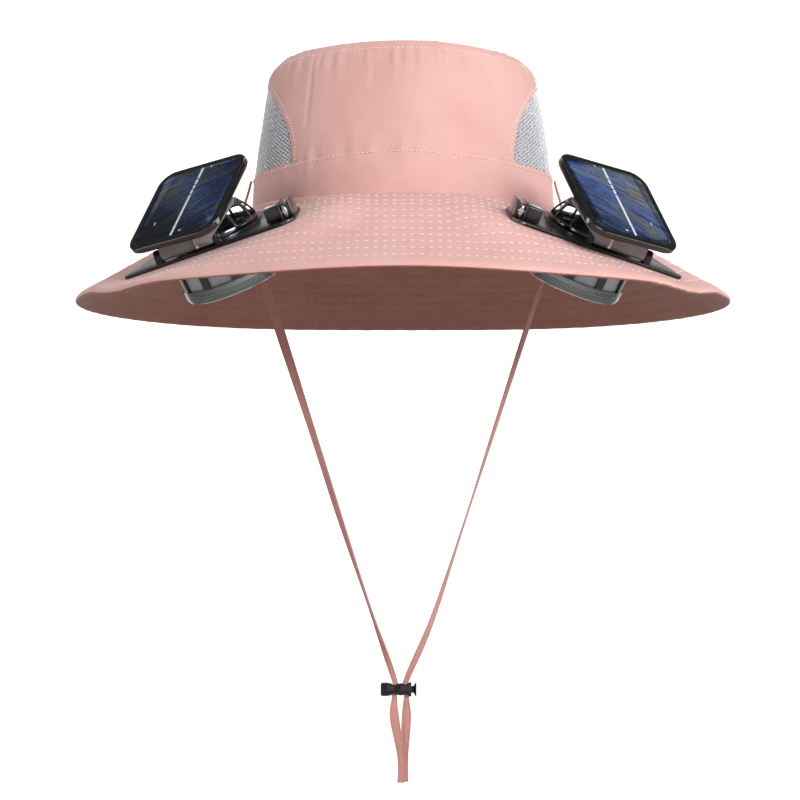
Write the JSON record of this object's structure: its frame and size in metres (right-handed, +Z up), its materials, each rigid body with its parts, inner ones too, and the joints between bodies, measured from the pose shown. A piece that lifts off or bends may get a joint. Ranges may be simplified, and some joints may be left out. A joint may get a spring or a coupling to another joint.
{
  "type": "solar fan hat",
  "caption": "Wide-brimmed sun hat with mesh side windows, a solar-powered clip fan on each side of the brim and a chin strap with a cord lock.",
  "frame": {"origin": "centre of the head opening, in the plane where the crown meets the brim", "axes": "+Z up through the crown, -Y towards the wearer's front, +X towards the wearer's left"},
  "size_m": [0.4, 0.4, 0.443],
  "materials": {
    "rose_cotton": "matte quilted cotton twill",
    "knitted_mesh": "silver-white knitted mesh",
    "rose_ribbon": "flat sewn ribbon",
    "black_plastic": "satin",
    "gloss_black_plastic": "polished",
    "solar_cell": "resin-coated silicon",
    "bright_steel": "bright"
  },
  "bodies": {
    "hat": {"brim": "rose_cotton", "brim_binding": "rose_cotton", "crown_band": "rose_cotton", "crown_wall": "rose_cotton", "crown_tip": "rose_cotton", "mesh_window_left": "knitted_mesh", "mesh_window_right": "knitted_mesh", "strap_left": "rose_ribbon", "strap_right": "rose_ribbon", "cord_lock_barrel": "black_plastic", "clip_plate_left": "black_plastic", "clip_plate_right": "black_plastic", "latch_block_left": "black_plastic", "latch_block_right": "black_plastic", "spring_pin_left": "bright_steel", "spring_pin_right": "bright_steel", "dome_grille_left": "gloss_black_plastic", "dome_grille_right": "gloss_black_plastic", "fan_basket_left": "gloss_black_plastic", "fan_basket_right": "gloss_black_plastic", "lower_flange_left": "black_plastic", "lower_flange_right": "black_plastic", "motor_can_left": "bright_steel", "motor_can_right": "bright_steel", "panel_hinge_pin_left": "bright_steel", "panel_hinge_pin_right": "bright_steel"},
    "fan_left": {"fan_rotor_left": "black_plastic"},
    "fan_right": {"fan_rotor_right": "black_plastic"},
    "panel_left": {"panel_bracket_left": "black_plastic", "panel_tray_left": "gloss_black_plastic", "solar_cell_left": "solar_cell"},
    "panel_right": {"panel_bracket_right": "black_plastic", "panel_tray_right": "gloss_black_plastic", "solar_cell_right": "solar_cell"},
    "lock_button": {"cord_lock_button": "black_plastic"}
  },
  "joints": [
    {"name": "fan_spin_left", "type": "hinge", "parent": "hat", "child": "fan_left", "pos_m": [-0.11113, -0.07192, -0.02432], "axis": [-0.3634, -0.2798, 0.8886], "continuous": true},
    {"name": "fan_spin_right", "type": "hinge", "parent": "hat", "child": "fan_right", "pos_m": [0.11113, -0.07192, -0.02432], "axis": [0.3634, -0.2798, 0.8886], "continuous": true},
    {"name": "panel_tilt_left", "type": "hinge", "parent": "hat", "child": "panel_left", "pos_m": [-0.1269, -0.10201, -0.03293], "axis": [0.921, -0.252, 0.2973], "range_deg": [0, 18]},
    {"name": "panel_tilt_right", "type": "hinge", "parent": "hat", "child": "panel_right", "pos_m": [0.1269, -0.10201, -0.03293], "axis": [0.921, 0.252, -0.2973], "range_deg": [0, 18]},
    {"name": "lock_press", "type": "slide", "parent": "hat", "child": "lock_button", "axis": [-1, 0, 0], "range_m": [0, 0.0012], "stiffness_N_per_m": 500, "springref_m": -0.001}
  ]
}
